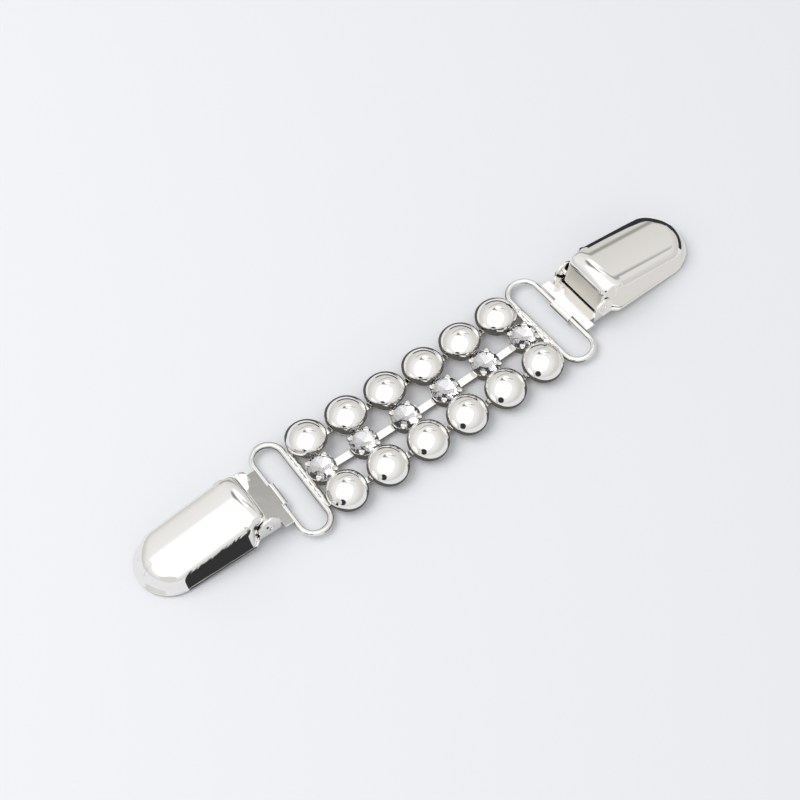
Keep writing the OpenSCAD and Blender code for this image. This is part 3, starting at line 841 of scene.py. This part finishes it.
def lever_edge(point, way):
    """The rolled edge at a point of the outline: how far in and up it goes, and the wall's draft."""
    broad = blend(point.x, shoulder_u, broad_u + 0.6)
    rear = blend(-point.x, -wall_u - 1.2, -wall_u - 0.2)
    tip = blend(point.x, tip_u, tip_u + 5.5)
    draft = side_draft * broad + tip_draft * tip * max(-way.x, 0)
    in_radius = neck_roll + broad_roll * broad + rear_roll_in * rear + tip_roll_in * tip
    up_radius = neck_roll + broad_roll * broad + rear_roll_up * rear + tip_roll_up * tip
    return in_radius, up_radius, draft


# The skin goes up the wall in three rings, round the rolled edge, and in to the lever's spine.
rings = []
for level in (0, 0.5, 1):
    ring_points = []
    for point, way in zip(outline, inward):
        up_radius, draft = lever_edge(point, way)[1:]
        foot = neck_rim + (lever_rim - neck_rim) * blend(point.x, shoulder_u, shoulder_u + 0.3)
        top = lever_top(*(point + way * draft)) - up_radius
        lean = wall_back * (1 - level) * min(max((shoulder_u - point.x) / (shoulder_u - wall_u), 0), 1)
        u, v = point + way * draft * level
        ring_points.append((u - lean, v, foot + (top - foot) * level))
    rings.append(ring_points)
for step in range(1, rolled_steps + 1):
    angle = math.pi / 2 * step / rolled_steps
    ring_points = []
    for point, way in zip(outline, inward):
        in_radius, up_radius, draft = lever_edge(point, way)
        u, v = point + way * (draft + in_radius * (1 - math.cos(angle)))
        ring_points.append((u, v, lever_top(u, v) - up_radius * (1 - math.sin(angle))))
    rings.append(ring_points)
edge_ring = rings[-1]
for step in range(1, inner_steps + 1):
    share = 0.97 * step / inner_steps
    ring_points = []
    for u, v, _ in edge_ring:
        spine = min(max(u, crest_u + 0.6), tip_u)
        u, v = u + (spine - u) * share, v * (1 - share)
        ring_points.append((u, v, lever_top(u, v)))
    rings.append(ring_points)

bm = bmesh.new()
rows = [[bm.verts.new(p) for p in ring_points] for ring_points in rings]
for low, high in zip(rows, rows[1:]):
    for i in range(len(outline)):
        bm.faces.new((low[i - 1], low[i], high[i], high[i - 1]))
bm.faces.new(rows[-1])
bmesh.ops.remove_doubles(bm, verts=bm.verts, dist=0.001)
bmesh.ops.recalc_face_normals(bm, faces=bm.faces)
lever_skin = bpy.data.meshes.new("lever_skin")
bm.to_mesh(lever_skin)
bm.free()

wall_reach = 6.1 * mm
wall_height = 7.2 * mm
for end in ("left", "right"):
    host = bpy.data.objects.new("host", lever_skin)
    bpy.context.scene.collection.objects.link(host)
    thick = host.modifiers.new("sheet", "SOLIDIFY")
    thick.thickness = sheet
    thick.offset = -1
    mesh = bpy.data.meshes.new_from_object(host.evaluated_get(bpy.context.evaluated_depsgraph_get()))
    bpy.data.objects.remove(host)
    mesh = clip_place(mesh, end)
    mesh.materials.append(sheet_plate)
    mesh.materials.append(end_wall_painted_beige)
    inward_x = -1 if end == "left" else 1
    wall_x = inward_x * (swivel_x + row_place(row_count).translation.x + wall_reach)
    # Painted reflection: the end wall's faces take the warm beige grey.
    for face in mesh.polygons:
        behind = (face.center.x - wall_x) * inward_x < 0 and face.center.z < wall_height
        face.material_index = 1 if behind and abs(face.normal.x) > 0.8 else 0
    ship(f"drawn_lever_{end}", mesh, None, f"lever_arm_{end}", "lever_sheet", f"lever_{end}", sharp=50)


# ---------- Rivet dimples ----------
# The rivets' heads are spread with a pointed punch, which leaves a small ring with a
# pit in each ear. The near pair is placed in the photograph and mirrored to the far ears.
ring_radius = 0.57
ring_height = 0.16
sunk = -0.1
# Radius and height in millimetres: the pit, the ring's flat top, its outer edge and its foot.
dimple = [(0, 0.02), (0.14, 0.05), (0.26, ring_height), (0.4, ring_height), (0.52, 0.1),
          (ring_radius, -0.02), (ring_radius, sunk), (0, sunk)]
dimple_mesh = turned([(radius * mm, height * mm) for radius, height in dimple], 40)
for end in ("left", "right"):
    place, normal = meet(f"{end} near dimple", [plates[end], rivets[end]])
    stand = Vector((0, 0, 1)).rotation_difference(normal).to_matrix().to_4x4()
    near_mesh = dimple_mesh.copy()
    near_mesh.transform(Matrix.Translation(place) @ stand)
    ship(f"near_dimple_{end}", near_mesh, sheet_plate, f"clip_{end}", "pin_metal")
    to_row = row_place(row_count)
    if end == "left":
        to_row = Matrix.Scale(-1, 4, (1, 0, 0)) @ to_row
    far_mesh = near_mesh.copy()
    far_mesh.transform(to_row @ Matrix.Scale(-1, 4, (0, 1, 0)) @ to_row.inverted())
    far_mesh.flip_normals()
    ship(f"far_dimple_{end}", far_mesh, sheet_plate, f"clip_{end}", "pin_metal")


# ---------- Cards beside the levers ----------
# The photographer's cards lie close to the levers: a torn dark one shows in the near
# wall of the left lever, a dark bent one along the far edge of the right lever.
def on_table(end, u, v, z=0.05):
    """A place beside a clip, u along it and v across it, z above the table, from millimetres."""
    place = row_place(row_count) @ Vector((swivel_x + u * mm, v * mm, z * mm))
    return Vector((-place.x if end == "left" else place.x, place.y, z * mm))


side_v = -6.6
near_v = -16.2
left_from, left_to = 8.4, 23.4
torn_height = 6
torn_depth = 2.6
torn_steps = 80
torn = random.Random(4)
torn_top = [on_table("left", left_from + (left_to - left_from) * i / torn_steps, near_v,
                     torn_height + torn.uniform(-torn_depth, torn_depth)) for i in range(torn_steps + 1)]
card("card_by_left_lever", black_card, [
    on_table("left", left_from, side_v), on_table("left", left_from, near_v),
    on_table("left", left_to, near_v), on_table("left", left_to, side_v)])
card("torn_card", black_card, [
    on_table("left", left_from, near_v), *torn_top, on_table("left", left_to, near_v)])

# The bent card runs along the right lever's far side and round its tip. Each step of the bend
# is a place along the lever and the angle that the card faces there.
bend_from, bend_middle = 13.5, 21.5
card_away = 15
bend = [(bend_from + 2 * i, 90) for i in range(5)] + [(bend_middle, a) for a in range(86, -30, -4)]
bent, foot_in, tops = [], [], []
for u, a in bend:
    way = Vector((math.cos(math.radians(a)), math.sin(math.radians(a))))
    bent.append(Vector((u, 0)) + way * card_away)
    foot_in.append(Vector((u, 0)) + way * (7.2 + 4.0 * blend(-a, -90, -60)))
    tops.append(14 - 4.5 * blend(u, bend_from, bend_middle) - 6 * blend(-a, -55, 20))
bent_sheets, foot_sheets = [], []
for i in range(len(bend) - 1):
    foot = [on_table("right", *bent[i]), on_table("right", *bent[i + 1])]
    bent_sheets.append(foot + [on_table("right", *bent[i + 1], tops[i + 1]),
                               on_table("right", *bent[i], tops[i])])
    foot_sheets.append([on_table("right", *foot_in[i]), on_table("right", *foot_in[i + 1])] + foot[::-1])
card("bent_card", black_card, *bent_sheets)
card("bent_card_foot", black_card, *foot_sheets)
card("card_by_right_lever", white_card, [
    on_table("right", 6, side_v), on_table("right", 34, side_v), on_table("right", 34, -30),
    on_table("right", 6, -30)])
# A small white card hides the tent's opening from the left lever's tip.
card("blind_by_left_lever", white_card, disc(Vector((-0.108, -0.037, 0.022)), 0.024, 0.024))


corners, faces = [], []
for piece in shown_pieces():
    faces += [[len(corners) + i for i in face.vertices] for face in piece.data.polygons]
    corners += [vertex.co.copy() for vertex in piece.data.vertices]
whole = BVHTree.FromPolygons(corners, faces)
eye = camera.matrix_world.translation

# A vertex shows where nothing but its own surface, skin deep, is before it.
skin = 0.08 * mm
edge_pixels = 0.8


def showing(names, side_of_row=None):
    """Image places of the vertices that show, of some pieces or of one side of a row of beads."""
    places = []
    for name in names:
        for vertex in bpy.data.objects[name].data.vertices:
            way = vertex.co - eye
            if side_of_row and (row_place(side_of_row[0]).inverted() @ vertex.co).y * side_of_row[1] < 0:
                continue
            if whole.ray_cast(eye, way.normalized(), way.length - skin)[0] is None:
                places.append(to_image(vertex.co))
    return places


def offset(point, places, edge):
    """How far the edge of some places, or their middle, is from an image point."""
    xs, ys = [place[0] for place in places], [place[1] for place in places]
    if edge == "middle":
        return (min(xs) + max(xs)) / 2 - point[0], (min(ys) + max(ys)) / 2 - point[1]
    axis = 0 if edge in ("left", "right") else 1
    extreme = (min if edge in ("left", "top") else max)(place[axis] for place in places)
    along_edge = [place[1 - axis] for place in places if abs(place[axis] - extreme) < edge_pixels]
    nearest = min(along_edge, key=lambda value: abs(value - point[1 - axis]))
    off = [0, 0]
    off[axis], off[1 - axis] = extreme - point[axis], nearest - point[1 - axis]
    return off


left_lever, right_lever = ["drawn_lever_left", "plate_left"], ["drawn_lever_right", "plate_right"]
things = {
    "left lever, leftmost": (left_lever, "left"), "left lever, bottom": (left_lever, "bottom"),
    "right lever, rightmost": (right_lever, "right"), "right lever, top": (right_lever, "top"),
    "far bead 1": (["beads_row_1"], "middle", (1, 1)),
    "near bead 1": (["beads_row_1"], "middle", (1, -1)),
    "far bead 6": (["beads_row_6"], "middle", (6, 1)),
    "near bead 6": (["beads_row_6"], "middle", (6, -1)),
    "crystal 1": (["cut_crystal_1"], "middle"), "crystal 6": (["cut_crystal_6"], "middle"),
    "left loop, top": (["loop_left"], "top"), "left loop, bottom": (["loop_left"], "bottom"),
    "right loop, top": (["loop_right"], "top"), "right loop, bottom": (["loop_right"], "bottom"),
    "left near dimple": (["near_dimple_left"], "middle"),
    "right near dimple": (["near_dimple_right"], "middle"),
}
for name, (pieces, edge, *side_of_row) in things.items():
    places = showing(pieces, *side_of_row)
    [round(value, 2) for value in offset(POINTS[name], places, edge)] if places else None
